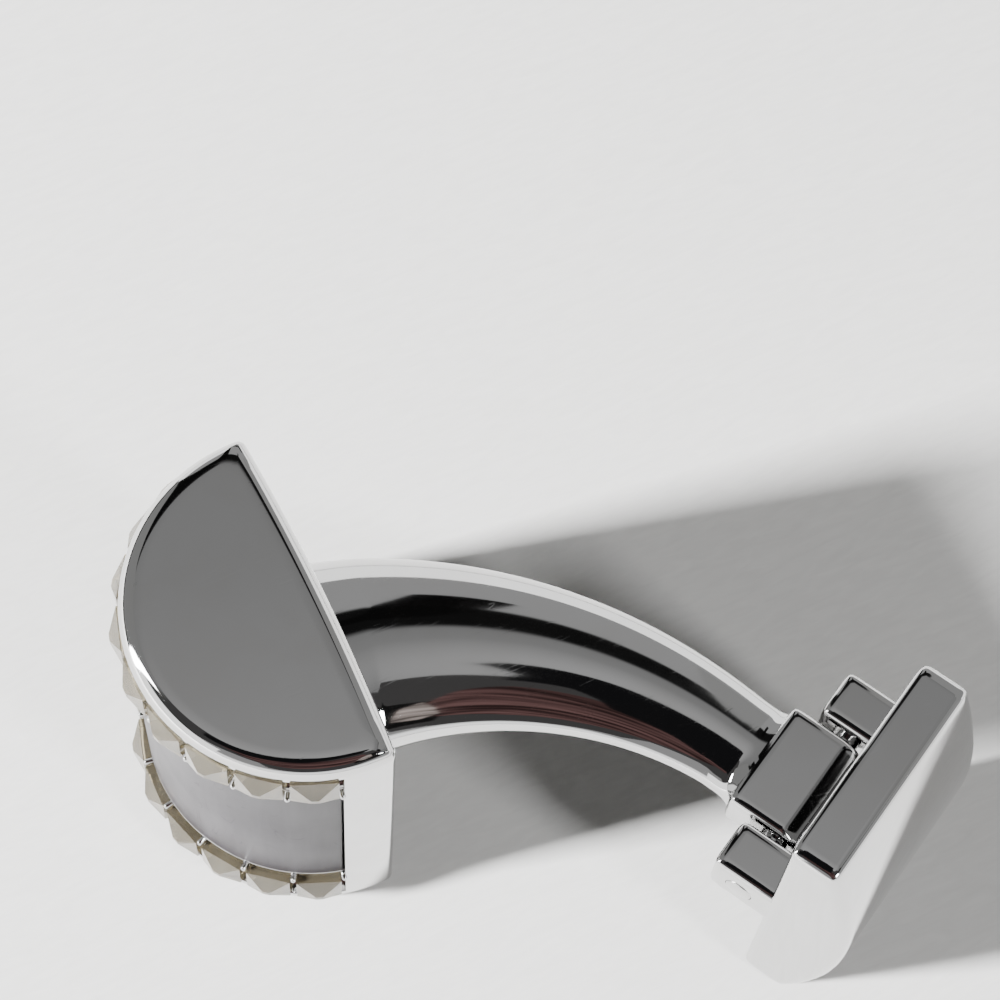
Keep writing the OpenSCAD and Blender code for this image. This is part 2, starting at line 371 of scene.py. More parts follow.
def make_object(name, points, faces):
    """Mesh object in millimetres, with doubles merged and faces pointing outwards."""
    mesh = bpy.data.meshes.new(name)
    mesh.from_pydata(points, [], faces)
    piece = bpy.data.objects.new(name, mesh)
    bpy.context.scene.collection.objects.link(piece)
    bm = bmesh.new()
    bm.from_mesh(mesh)
    bmesh.ops.remove_doubles(bm, verts=bm.verts, dist=MERGE_GAP)
    bmesh.ops.recalc_face_normals(bm, faces=bm.faces)
    bm.to_mesh(mesh)
    bm.free()
    return piece


def skin(rings):
    """Points and faces of a closed tube through rings that have the same number of points."""
    sides = len(rings[0])
    points = [point for ring in rings for point in ring]
    faces = []
    for start in range(0, len(points) - sides, sides):
        for k in range(sides):
            a, b = start + k, start + (k + 1) % sides
            faces.append((a, b, b + sides, a + sides))
    faces += [tuple(range(sides)), tuple(range(len(points) - 1, len(points) - 1 - sides, -1))]
    return points, faces


def apply_modifiers(piece):
    """Turns the evaluated piece into its own plain mesh."""
    depsgraph = bpy.context.evaluated_depsgraph_get()
    made = bpy.data.meshes.new_from_object(piece.evaluated_get(depsgraph), depsgraph=depsgraph)
    piece.modifiers.clear()
    old = piece.data
    piece.data = made
    bpy.data.meshes.remove(old)
    return piece


def is_sharp(edge):
    """Whether the two faces beside an edge meet at a clear angle."""
    return edge.is_manifold and edge.calc_face_angle() > SHARP_ANGLE


def weigh_edges(piece, weight_of):
    """Gives each edge the share of the bevel's width that weight_of(edge) says."""
    bm = bmesh.new()
    bm.from_mesh(piece.data)
    layer = bm.edges.layers.float.new("bevel_weight_edge")
    for edge in bm.edges:
        edge[layer] = weight_of(edge)
    bm.to_mesh(piece.data)
    bm.free()


def bevel(piece, width, segments, profile=0.5):
    """Rounds the weighted edges; a profile over a half gives them soft shoulders."""
    rounding = piece.modifiers.new("rounded edges", "BEVEL")
    rounding.limit_method = "WEIGHT"
    rounding.width = width
    rounding.segments = segments
    rounding.profile = profile
    rounding.use_clamp_overlap = False
    rounding.miter_outer = "MITER_ARC"
    return apply_modifiers(piece)


def combine(piece, other, operation):
    """Joins, or cuts with, another closed piece, which is used up."""
    change = piece.modifiers.new("combine", "BOOLEAN")
    change.operation = operation
    change.solver = "EXACT"
    change.object = other
    apply_modifiers(piece)
    bpy.data.objects.remove(other)
    return piece


def extrude_profile(name, profile, low, high, corner_share=0.0):
    """Prism along the pin, its profile in the out and up directions, with weighted edges."""
    piece = make_object(name, *skin([[(x, y, z) for x, z in profile] for y in (low, high)]))

    def weight_of(edge):
        if any(all(abs(v.co.y - y) < MERGE_GAP for v in edge.verts) for y in (low, high)):
            return 1.0
        return corner_share if is_sharp(edge) else 0.0

    weigh_edges(piece, weight_of)
    piece.data.transform(HINGE_PLACE)
    return piece


def rod(name, radius, half):
    """Round rod along the pin's own line, for the pin and for what cuts its bores."""
    return extrude_profile(name, arc((0, 0), radius, 0, 360, ROD_STEPS)[:-1], -half, half)


def finish_piece(name, piece, material, body, slot, *nodes):
    """Scales the mesh to metres, smooths its shading and hands it to the frame."""
    piece.name = name
    piece.data.name = name
    piece.data.transform(Matrix.Scale(MM, 4))
    piece.data.polygons.foreach_set("use_smooth", [True] * len(piece.data.polygons))
    piece.data.set_sharp_from_angle(angle=SHADED_SHARP_ANGLE)
    piece.data.materials.clear()
    piece.data.materials.append(material)
    flatten = piece.modifiers.new("flat faces stay flat", "WEIGHTED_NORMAL")
    flatten.weight = FLAT_WEIGHT
    flatten.keep_sharp = True
    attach(piece, body)
    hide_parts(*nodes)
    return piece


# Head


def head_profile():
    """Radius and height of the front between the end faces, through both channels."""
    lower = [
        (HEAD_RADIUS, ROW_Z - CHANNEL_HALF),
        (CHANNEL_WALL_RADIUS, ROW_Z - CHANNEL_HALF),
        (CHANNEL_FLOOR_RADIUS, ROW_Z - CHANNEL_FLOOR_HALF),
        (CHANNEL_FLOOR_RADIUS, ROW_Z + CHANNEL_FLOOR_HALF),
        (CHANNEL_WALL_RADIUS, ROW_Z + CHANNEL_HALF),
        (RAIL_RADIUS, ROW_Z + CHANNEL_HALF),
        (RAIL_RADIUS, BAND_LOW - FIT_GAP),
        (BAND_INNER_RADIUS - FIT_GAP, BAND_LOW - FIT_GAP),
    ]
    upper = [(radius, HEAD_HEIGHT - z) for radius, z in reversed(lower)]
    return lower + upper


def back_x(y):
    """Place of the bowed back, at a place across it."""
    return BACK_X - BACK_BOW * (y / BACK_HALF) ** 2


def back_slope(y):
    """Tilt of the back's outward normal, in degrees, at a place across it."""
    return math.degrees(math.atan(2 * BACK_BOW * y / BACK_HALF ** 2))


def corner_centre():
    """Angle round the front, and place, of the centre of the rounding at the back's edge."""
    low, high = CORNER_SEARCH
    for _ in range(CORNER_ROUNDS):
        angle = (low + high) / 2
        x, y, _z = on_front(angle, HEAD_RADIUS - HEAD_CORNER, 0)
        reach = (back_x(y) - x) * math.cos(math.radians(back_slope(y)))
        if reach > HEAD_CORNER:
            low = angle
        else:
            high = angle
    return angle, x, y


def head_outline():
    """Closed outline as places and outward normals, and the steps between which channels run."""
    corner_angle, corner_x, corner_y = corner_centre()
    channel = [CHANNEL_END_ANGLE * (2 * i / CHANNEL_STEPS - 1) for i in range(CHANNEL_STEPS + 1)]
    side = [CHANNEL_END_ANGLE + (corner_angle - CHANNEL_END_ANGLE) * i / SIDE_STEPS
            for i in range(1, SIDE_STEPS + 1)]
    outline = []
    for angle in [-a for a in reversed(side)] + channel + side:
        normal = polar(-1.0, angle)
        outline.append((HEAD_AXIS_X + HEAD_RADIUS * normal[0], HEAD_RADIUS * normal[1], *normal))

    def corner(sign):
        start, stop = corner_angle - 180, back_slope(corner_y)
        made = []
        for i in range(1, CORNER_STEPS + 1):
            nx, ny = polar(1.0, start + (stop - start) * i / CORNER_STEPS)
            made.append((corner_x + HEAD_CORNER * nx, sign * (corner_y + HEAD_CORNER * ny),
                         nx, sign * ny))
        return made

    outline += corner(1)
    edge_y = outline[-1][1]
    for i in range(1, BACK_STEPS):
        y = edge_y * (1 - 2 * i / BACK_STEPS)
        outline.append((back_x(y), y, *polar(1.0, back_slope(y))))
    outline += reversed(corner(-1))
    return outline, SIDE_STEPS, SIDE_STEPS + CHANNEL_STEPS


def rim_share(x, y, front_width, back_width):
    """Distance from the outline as a share of the rim's width, rounded near the two corners."""
    to_front = (HEAD_RADIUS - math.hypot(x - HEAD_AXIS_X, y)) / front_width
    to_back = (back_x(y) - x) / back_width
    share = min(to_front, to_back)
    # The rounding's radius depends on the share that it gives, which settles in a few rounds
    for _ in range(SHARE_ROUNDS):
        radius = CORNER_START + CORNER_SPREAD * max(share, 0)
        rounded = radius - math.hypot(max(radius - to_front, 0), max(radius - to_back, 0))
        share = (share + min(rounded, to_front, to_back)) / 2
    return limited(share)


def crown_depth(x, y):
    """Depth of the very shallow slope that runs down to the rim of an end face."""
    return CROWN_DROP * (1 - rim_share(x, y, FRONT_CROWN, BACK_CROWN)) ** 2


def face_depth(x, y):
    """Depth of the rim and the shallow slope together, below the flat of the end face."""
    level = 1 - rim_share(x, y, RIM_INSET, RIM_INSET)
    return RIM_DROP * (1 - math.sqrt(1 - level ** 2)) + crown_depth(x, y)


def end_rings(outline):
    """Rings from the upright side over the rounded rim to the flat middle: x, y and depth."""
    rings = [[(x, y, RIM_DROP + CROWN_DROP) for x, y, nx, ny in outline]]
    for i in range(1, RIM_STEPS + 1):
        turned = math.radians(RIM_TURN * i / RIM_STEPS)
        inset = RIM_INSET * (1 - math.cos(turned))
        ring = []
        for x, y, nx, ny in outline:
            x, y = x - nx * inset, y - ny * inset
            ring.append((x, y, RIM_DROP * (1 - math.sin(turned)) + crown_depth(x, y)))
        rings.append(ring)
    rim = rings[-1]
    for i in range(1, CROWN_STEPS + 1):
        step = (i / CROWN_STEPS) ** CROWN_PACE
        scale = 1 - CROWN_REACH * step
        settled = min(1.0, SETTLE_PACE * step)
        ring = []
        for x, y, rim_depth in rim:
            x, y = CROWN_CENTRE_X + (x - CROWN_CENTRE_X) * scale, y * scale
            depth = face_depth(x, y)
            ring.append((x, y, (1 - settled) * min(rim_depth, depth) + settled * depth))
        rings.append(ring)
    return rings


def head_block():
    """Half-disc block with the channels turned into its front, and every rim rounded."""
    channel = head_profile()
    outline, channel_start, channel_stop = head_outline()
    rings = end_rings(outline)
    count = len(outline)
    points, faces = [], []

    def add_face(corners):
        faces.append(tuple(range(len(points), len(points) + len(corners))))
        points.extend(corners)

    def add_band(row, next_row):
        for k in range(count):
            n = (k + 1) % count
            add_face([row[k], row[n], next_row[n], next_row[k]])

    for lower in (False, True):
        levels = [[(x, y, depth if lower else HEAD_HEIGHT - depth) for x, y, depth in ring]
                  for ring in rings]
        for row, next_row in zip(levels, levels[1:]):
            add_band(row, next_row)
        add_face(levels[-1])

    # The side stands between the two rims, and is left open where the channels run
    side_depth = rings[0][0][2]
    rows = [side_depth, channel[0][1], channel[-1][1], HEAD_HEIGHT - side_depth]
    for z, next_z in zip(rows, rows[1:]):
        between_channel_edges = z == rows[1]
        for k in range(count):
            if between_channel_edges and channel_start <= k < channel_stop:
                continue
            (x, y, *_), (next_x, next_y, *_) = outline[k], outline[(k + 1) % count]
            add_face([(x, y, z), (next_x, next_y, z), (next_x, next_y, next_z), (x, y, next_z)])
    for i in range(CHANNEL_STEPS):
        a, b = (CHANNEL_END_ANGLE * (2 * step / CHANNEL_STEPS - 1) for step in (i, i + 1))
        for (r, z), (next_r, next_z) in zip(channel, channel[1:]):
            add_face([on_front(a, r, z), on_front(b, r, z),
                      on_front(b, next_r, next_z), on_front(a, next_r, next_z)])
    for angle in (-CHANNEL_END_ANGLE, CHANNEL_END_ANGLE):
        add_face([on_front(angle, r, z) for r, z in channel])
    head = make_object("head", points, faces)
    weigh_edges(head, lambda edge: float(is_sharp(edge) and edge.is_convex))
    return bevel(head, FINE_EDGE, FINE_SEGMENTS)


# Arm


def bend_length():
    """Length of the arm's bend along its centre line."""
    return ARM_BEND_RADIUS * math.radians(ARM_END_ANGLE - ARM_START_ANGLE)


def arm_frame(along):
    """Place and heading of the arm's centre line, at a length along it from the head's back."""
    if along < bend_length():
        heading = ARM_START_ANGLE + math.degrees(along / ARM_BEND_RADIUS)
        x, y = polar(ARM_BEND_RADIUS, 90 - heading, ARM_BEND_CENTRE)
        return Vector((x, y, ARM_Z)), heading
    x, y = polar(ARM_BEND_RADIUS, 90 - ARM_END_ANGLE, ARM_BEND_CENTRE)
    dx, dy = polar(along - bend_length(), -ARM_END_ANGLE)
    return Vector((x + dx, y + dy, ARM_Z)), ARM_END_ANGLE


def arm_sizes(along):
    """Half width, half thickness and squareness of the arm's section."""
    left = limited(1 - along / bend_length())
    half_width = (ARM_END_WIDTH + (ARM_WIDTH - ARM_END_WIDTH) * left ** WIDTH_FADE) / 2
    half_thickness = (ARM_END_THICKNESS
                      + (ARM_THICKNESS - ARM_END_THICKNESS) * left ** THICKNESS_FADE) / 2
    shoulder_end = bend_length() + ARM_STRAIGHT - KNUCKLE_LENGTH + SHOULDER_SINK
    swell = limited(1 - (shoulder_end - along) / SHOULDER) ** 2
    half_width += (KNUCKLE_HALF - SHOULDER_SIDE_GAP - half_width) * swell
    half_thickness += (KNUCKLE_RADIUS - SHOULDER_TOP_GAP - half_thickness) * swell
    return half_width, half_thickness, ARM_SQUARENESS + SHOULDER_SQUARENESS * swell


def arm_ring(along, heading, flare):
    """Ring of the arm's section, swollen by the flare of the fillet at the head's back."""
    centre = arm_frame(along)[0]
    half_width, half_thickness, squareness = arm_sizes(along)
    turn = math.radians(heading)
    across = Vector((math.sin(turn), math.cos(turn), 0))
    ring = []
    for k in range(ARM_SIDES):
        side, up = squared_oval(2 * math.pi * k / ARM_SIDES, squareness)
        ring.append(centre + across * (side * (half_width + flare))
                    + Vector((0, 0, up * (half_thickness + flare))))
    return ring


def curved_arm():
    """Arm swept from inside the head to inside the knuckle, with a fillet at the head."""

    def heading(along):
        return arm_frame(along)[1] * limited((along - BACK_START) / TURN_IN)

    rings = [arm_ring(BACK_START - HEAD_SINK, 0, ROOT_FILLET)]
    for k in range(FILLET_STEPS + 1):
        turn = math.radians(90 * k / FILLET_STEPS)
        along = BACK_START - FILLET_LAP + ROOT_FILLET * (1 - math.cos(turn))
        ring = arm_ring(along, heading(along), ROOT_FILLET * (1 - math.sin(turn)))
        # The fillet starts on the back's bow and ends square to the arm
        bow = BACK_BOW * (1 - k / FILLET_STEPS)
        rings.append([p - Vector((bow * (p.y / HEAD_RADIUS) ** 2, 0, 0)) for p in ring])
    start = BACK_START + ROOT_FILLET
    end = bend_length() + ARM_STRAIGHT - KNUCKLE_SINK
    for i in range(1, ARM_STEPS + 1):
        along = start + (end - start) * i / ARM_STEPS
        rings.append(arm_ring(along, heading(along), 0))
    return make_object("arm", *skin(rings))


def knuckle():
    """Bar across the end of the arm, with a round nose about the pin."""
    r, back = KNUCKLE_RADIUS, KNUCKLE_LENGTH
    profile = arc((0, 0), r, -90, 90, NOSE_STEPS) + [(-back, r), (-back, -r)]
    bar = extrude_profile("knuckle", profile, -KNUCKLE_HALF, KNUCKLE_HALF, BAR_CORNER_SHARE)
    return bevel(bar, KNUCKLE_EDGE, SOFT_SEGMENTS, SOFT_SHOULDER)


def link_body():
    """Head, arm and knuckle as one soldered body."""
    body = combine(head_block(), curved_arm(), "UNION")
    combine(body, knuckle(), "UNION")
    bore = rod("bore", PIN_RADIUS + FIT_GAP, KNUCKLE_HALF + BORE_OVERRUN)
    return combine(body, bore, "DIFFERENCE")


# Toggle


def toggle_profile():
    """Flat inner side, upright ends and a wide arc outside."""
    sag = TOGGLE_THICKNESS - TOGGLE_END_THICKNESS
    half = TOGGLE_HALF_LENGTH
    radius = (half ** 2 + sag ** 2) / (2 * sag)
    centre_x = TOGGLE_INNER + TOGGLE_THICKNESS - radius
    tilt = math.degrees(math.asin(half / radius))
    return ([(TOGGLE_INNER, half), (TOGGLE_INNER, -half)]
            + arc((centre_x, 0), radius, -tilt, tilt, TOGGLE_STEPS))


def ear(side):
    """One ear that carries an end of the pin."""
    half, root = EAR_HALF_HEIGHT, TOGGLE_INNER + EAR_ROOT
    profile = [(-EAR_REACH, half), (-EAR_REACH, -half), (root, -half), (root, half)]
    low, high = sorted((side * EAR_INNER, side * EAR_OUTER))
    block = extrude_profile("ear", profile, low, high, BAR_CORNER_SHARE)
    return bevel(block, EAR_EDGE, SOFT_SEGMENTS, SOFT_SHOULDER)


def toggle_bar():
    """Toggle with its two ears, drilled for the pin."""
    bar = extrude_profile("bar", toggle_profile(), TOGGLE_OFFSET - TOGGLE_HALF_WIDTH,
                          TOGGLE_OFFSET + TOGGLE_HALF_WIDTH, TOGGLE_CORNER_SHARE)
    bevel(bar, TOGGLE_END_EDGE, SOFT_SEGMENTS, SOFT_SHOULDER)
    for side in (-1, 1):
        combine(bar, ear(side), "UNION")
    bore = rod("bore", PIN_RADIUS + PIN_GAP, EAR_OUTER + BORE_OVERRUN)
    return combine(bar, bore, "DIFFERENCE")


def hinge_pin():
    """Pin with rounded ends."""
    return bevel(rod("pin", PIN_RADIUS, PIN_HALF), PIN_EDGE, PIN_SEGMENTS)


# Band


def inlay_band():
    """Polished inlay that follows the front between the rows."""
    section = [(BAND_INNER_RADIUS, BAND_LOW), (RAIL_RADIUS, BAND_LOW),
               (RAIL_RADIUS, HEAD_HEIGHT - BAND_LOW), (BAND_INNER_RADIUS, HEAD_HEIGHT - BAND_LOW)]
    angles = [ROW_HALF_ANGLE * (2 * i / BAND_STEPS - 1) for i in range(BAND_STEPS + 1)]
    band = make_object("band", *skin([[on_front(a, r, z) for r, z in section] for a in angles]))
    weigh_edges(band, lambda edge: float(is_sharp(edge)))
    return bevel(band, BAND_EDGE, FINE_SEGMENTS)


# Node helpers


def feed(tree, socket, value):
    """Links a socket to another one, or gives it a plain value."""
    if isinstance(value, bpy.types.NodeSocket):
        tree.links.new(value, socket)
    else:
        socket.default_value = value


def math_node(tree, operation, first, second=0.0, clamp=False):
    """Math node on two numbers or sockets; returns its output."""
    node = tree.nodes.new("ShaderNodeMath")
    node.operation = operation
    node.use_clamp = clamp
    for socket, value in zip(node.inputs, (first, second)):
        feed(tree, socket, value)
    return node.outputs["Value"]


def combined(tree, x=0.0, y=0.0, z=0.0):
    """Vector of three numbers or sockets."""
    node = tree.nodes.new("ShaderNodeCombineXYZ")
    for socket, value in zip(node.inputs, (x, y, z)):
        feed(tree, socket, value)
    return node.outputs["Vector"]


def millimetres(tree, stretch=(1.0, 1.0, 1.0), turn=(0.0, 0.0, 0.0)):
    """Object coordinates in millimetres, stretched and turned."""
    place = tree.nodes.new("ShaderNodeTexCoord")
    mapping = tree.nodes.new("ShaderNodeMapping")
    mapping.inputs["Scale"].default_value = [1 / (MM * s) for s in stretch]
    mapping.inputs["Rotation"].default_value = [math.radians(t) for t in turn]
    tree.links.new(place.outputs["Object"], mapping.inputs["Vector"])
    return mapping.outputs["Vector"]


def noise_node(tree, vector, scale, detail=2.0, distortion=0.0):
    """Cloudy noise on a vector; returns its factor."""
    noise = tree.nodes.new("ShaderNodeTexNoise")
    noise.inputs["Detail"].default_value = detail
    noise.inputs["Distortion"].default_value = distortion
    tree.links.new(vector, noise.inputs["Vector"])
    feed(tree, noise.inputs["Scale"], scale)
    return noise.outputs["Fac"]


def ramp(tree, low, high, value):
    """Rises from 0 to 1 as the value goes from low to high."""
    node = tree.nodes.new("ShaderNodeMapRange")
    node.inputs["From Min"].default_value = low
    node.inputs["From Max"].default_value = high
    tree.links.new(value, node.inputs["Value"])
    return node.outputs["Result"]


def colour_mix(tree, factor, first, second):
    """Mixes two colours, plain or sockets, by a factor socket."""
    mix = tree.nodes.new("ShaderNodeMix")
    mix.data_type = "RGBA"
    tree.links.new(factor, mix.inputs["Factor"])
    for label, colour in (("A", first), ("B", second)):
        socket = next(s for s in mix.inputs if s.name == label and s.type == "RGBA")
        feed(tree, socket, colour if isinstance(colour, bpy.types.NodeSocket) else (*colour, 1))
    return next(s for s in mix.outputs if s.type == "RGBA")


def add_relief(tree, shader, height, strength, depth):
    """Bump on a shader's normal, its depth in millimetres."""
    relief = tree.nodes.new("ShaderNodeBump")
    relief.inputs["Strength"].default_value = strength
    relief.inputs["Distance"].default_value = depth * MM
    tree.links.new(height, relief.inputs["Height"])
    tree.links.new(relief.outputs["Normal"], shader.inputs["Normal"])


def before_matt(tree):
    """1 for rays that have met only mirrors on their way, and 0 after a matt surface."""
    rays = tree.nodes.new("ShaderNodeLightPath")
    return math_node(tree, "LESS_THAN", rays.outputs["Diffuse Depth"], 0.5)


# Materials


def wear_group():
    """Hairline scratches in two directions, and soft smudges, as masks and as a height."""
    group = bpy.data.node_groups.new("polished surface wear", "ShaderNodeTree")
    for label, value in (("Scratch density", 0.6), ("Smudge size", 0.35)):
        socket = group.interface.new_socket(label, in_out="INPUT", socket_type="NodeSocketFloat")
        socket.default_value = value
    for label in ("Scratches", "Smudges", "Height"):
        group.interface.new_socket(label, in_out="OUTPUT", socket_type="NodeSocketFloat")
    start = group.nodes.new("NodeGroupInput").outputs
    end = group.nodes.new("NodeGroupOutput").inputs

    lines = []
    for turn, stretch in SCRATCH_RUNS:
        field = noise_node(group, millimetres(group, stretch, turn), start["Scratch density"],
                           detail=1.0, distortion=0.6)
        off_centre = math_node(group, "ABSOLUTE", math_node(group, "SUBTRACT", field, 0.5))
        lines.append(ramp(group, HAIRLINE, 0.0, off_centre))
    broken = ramp(group, 0.52, 0.62, noise_node(group, millimetres(group), scale=0.9))
    scratches = math_node(group, "MULTIPLY", math_node(group, "MAXIMUM", *lines), broken)
    smudges = ramp(group, 0.42, 0.75, noise_node(
        group, millimetres(group), start["Smudge size"], detail=5.0, distortion=0.4))
    grain = noise_node(group, millimetres(group), scale=22.0)
    height = math_node(group, "SUBTRACT", math_node(group, "MULTIPLY", grain, GRAIN_SHARE),
                       scratches)
    for label, value in (("Scratches", scratches), ("Smudges", smudges), ("Height", height)):
        group.links.new(value, end[label])
    return group


def new_material(name):
    """Material with its node tree and its main shader."""
    material = bpy.data.materials.new(name)
    material.use_nodes = True
    tree = material.node_tree
    return material, tree, tree.nodes["Principled BSDF"]


def add_wear(tree, shader, wear, density, smudge_size, polish, scratch_gain, smudge_gain):
    """Sets the roughness, over that of the polish, and a faint bump from the wear group."""
    node = tree.nodes.new("ShaderNodeGroup")
    node.node_tree = wear
    node.inputs["Scratch density"].default_value = density
    node.inputs["Smudge size"].default_value = smudge_size
    rough = math_node(tree, "MULTIPLY", node.outputs["Scratches"], scratch_gain)
    haze = math_node(tree, "MULTIPLY", node.outputs["Smudges"], smudge_gain)
    total = math_node(tree, "ADD", math_node(tree, "ADD", rough, haze), polish, clamp=True)
    tree.links.new(total, shader.inputs["Roughness"])
    add_relief(tree, shader, node.outputs["Height"], WEAR_BUMP, WEAR_DEPTH)
    return node


def silver_material(wear):
    """Mirror polish with hairlines and faint smudges, dark after a matt bounce as painted shade.
    """
    material, tree, shader = new_material("mirror silver")
    shader.inputs["Metallic"].default_value = 1.0
    node = add_wear(tree, shader, wear, density=0.6, smudge_size=0.35, polish=0.045,
                    scratch_gain=0.05, smudge_gain=0.03)
    tone = colour_mix(tree, node.outputs["Smudges"], CLEAN_SILVER, SMUDGED_SILVER)
    # Painted shade: the silver turns dark after a matt bounce, which holds down the light it would
    # throw back on the paper, so shadows stay deep
    seen = colour_mix(tree, before_matt(tree), SILVER_PAINTED_SHADE, tone)
    tree.links.new(seen, shader.inputs["Base Color"])
    return material


def inlay_material(wear):
    """Grey lavender inlay under a polished skin, with faint upright streaks."""
    material, tree, shader = new_material("grey lavender inlay")
    streaks = noise_node(tree, millimetres(tree, stretch=(0.35, 0.35, 4.0)), scale=1.0, detail=3.0)
    clouds = noise_node(tree, millimetres(tree), scale=0.3, detail=3.0)
    mean = math_node(tree, "MULTIPLY", math_node(tree, "ADD", streaks, clouds), 0.5)
    veil = ramp(tree, 0.35, 0.7, mean)
    tree.links.new(colour_mix(tree, veil, DARK_INLAY, LIGHT_INLAY), shader.inputs["Base Color"])
    shader.inputs["IOR"].default_value = 1.3
    shader.inputs["Specular IOR Level"].default_value = 0.2
    add_wear(tree, shader, wear, density=0.45, smudge_size=0.22, polish=0.3,
             scratch_gain=0.1, smudge_gain=0.08)
    return material


def stone_material():
    """Pale beige cut stone: cloudy inside, polished outside."""
    material, tree, shader = new_material("beige cut stone")
    cloud = noise_node(tree, millimetres(tree), scale=0.8, detail=4.0, distortion=0.5)
    tone = colour_mix(tree, ramp(tree, 0.3, 0.7, cloud), DARK_STONE, LIGHT_STONE)
    tree.links.new(tone, shader.inputs["Base Color"])
    shader.inputs["IOR"].default_value = 1.62
    shader.inputs["Transmission Weight"].default_value = 0.9
    shader.inputs["Roughness"].default_value = 0.06
    return material


def paper_material():
    """Matt pale paper with faint fibres."""
    material, tree, shader = new_material("pale paper")
    grain = millimetres(tree, stretch=(2.2, 0.5, 1.0), turn=(0, 0, 24))
    fibres = noise_node(tree, grain, scale=1.4, detail=5.0, distortion=0.8)
    tone = colour_mix(tree, ramp(tree, 0.3, 0.7, fibres), DARK_PAPER, LIGHT_PAPER)
    tree.links.new(tone, shader.inputs["Base Color"])
    shader.inputs["Roughness"].default_value = 0.9
    shader.inputs["Specular IOR Level"].default_value = 0.0
    add_relief(tree, shader, fibres, PAPER_BUMP, PAPER_DEPTH)
    return material


def light_material(name, colour, strength):
    """Plain glowing surface for a studio card, which lights no matt surface by way of a mirror."""
    material = bpy.data.materials.new(name)
    material.use_nodes = True
    tree = material.node_tree
    tree.nodes.clear()
    glow = tree.nodes.new("ShaderNodeEmission")
    glow.inputs["Color"].default_value = (*colour, 1)
    tree.links.new(math_node(tree, "MULTIPLY", before_matt(tree), strength),
                   glow.inputs["Strength"])
    end = tree.nodes.new("ShaderNodeOutputMaterial")
    tree.links.new(glow.outputs["Emission"], end.inputs["Surface"])
    return material


def streaked_card_material(name, colour, strength):
    """Glowing surface with long level streaks, as of folds in a warm cloth."""
    material = light_material(name, colour, strength)
    tree = material.node_tree
    place = tree.nodes.new("ShaderNodeTexCoord")
    mapping = tree.nodes.new("ShaderNodeMapping")
    mapping.inputs["Scale"].default_value = STREAK_SCALE
    tree.links.new(place.outputs["Object"], mapping.inputs["Vector"])
    noise = noise_node(tree, mapping.outputs["Vector"], scale=1.0, detail=3.0)
    folds = ramp(tree, 0.36, 0.66, noise)
    dark, light = ([shade * part for part in colour] for shade in STREAK_SHADES)
    tree.links.new(colour_mix(tree, folds, dark, light), tree.nodes["Emission"].inputs["Color"])
    return material


# Camera, floor and light


def make_camera():
    """Camera at the photograph's viewing angle."""
    data = bpy.data.cameras.new("camera")
    data.lens = CAMERA_LENS
    data.sensor_width = CAMERA_SENSOR
    data.clip_start, data.clip_end = CAMERA_RANGE
    camera = bpy.data.objects.new("camera", data)
    bpy.context.scene.collection.objects.link(camera)
    right = CAMERA_FORWARD.cross(CAMERA_UP).normalized()
    up = right.cross(CAMERA_FORWARD).normalized()
    turn = Matrix((right, up, -CAMERA_FORWARD.normalized())).transposed()
    camera.matrix_world = Matrix.Translation(CAMERA_PLACE) @ turn.to_4x4()
    bpy.context.scene.camera = camera


def make_stage_mesh(name, points, faces, material):
    """Piece of the studio, which is no part of the cufflink."""
    mesh = bpy.data.meshes.new(name)
    mesh.from_pydata(points, [], faces)
    mesh.materials.append(material)
    thing = bpy.data.objects.new(name, mesh)
    bpy.context.scene.collection.objects.link(thing)
    thing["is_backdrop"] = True
    return thing


def make_floor():
    """Level sheet of paper under the cufflink."""
    half = FLOOR_HALF
    corners = [(-half, -half, 0), (half, -half, 0), (half, half, 0), (-half, half, 0)]
    make_stage_mesh("floor", corners, [(0, 1, 2, 3)], paper_material())


def make_card(name, points, faces, material):
    """Piece of the studio that shows only in mirrors."""
    card = make_stage_mesh(name, points, faces, material)
    card.visible_camera = False
    card.visible_diffuse = False
    card.visible_transmission = False
    card.visible_shadow = False


def make_walls():
    """Walls and flags, each a curved strip between two heights."""
    for name, distance, (first, last), heights, brightness in WALLS:
        points = []
        for i in range(WALL_STEPS + 1):
            azimuth = first + (last - first) * i / WALL_STEPS
            points += [STUDIO_CENTRE + distance * direction(azimuth, height)
                       for height in heights]
        faces = [(2 * i, 2 * i + 2, 2 * i + 3, 2 * i + 1) for i in range(WALL_STEPS)]
        make_card(name, points, faces, light_material(name, WALL_COLOUR, brightness))


def make_cards():
    """Flat cards overhead, each an outline on its dome."""
    for name, radius, colour, strength, outline in CARDS:
        make_material = streaked_card_material if name in STREAKED else light_material
        points = [STUDIO_CENTRE + radius * direction(math.degrees(math.atan2(y, x)),
                                                     90 - math.hypot(x, y))
                  for x, y in outline]
        make_card(name, points, [tuple(range(len(points)))],
                  make_material(name, colour, strength))


def make_glows():
    """Glows near the lamps, square with round corners."""
    for name, azimuth, elevation, distance, wide, high, brightness in GLOWS:
        points = []
        for i in range(GLOW_SIDES):
            across, up = squared_oval(2 * math.pi * (i + 0.5) / GLOW_SIDES, GLOW_SQUARENESS)
            points.append(STUDIO_CENTRE + distance * direction(azimuth + wide / 2 * across,
                                                               elevation + high / 2 * up))
        make_card(name, points, [tuple(range(GLOW_SIDES))],
                  light_material(name, GLOW_COLOUR, brightness))


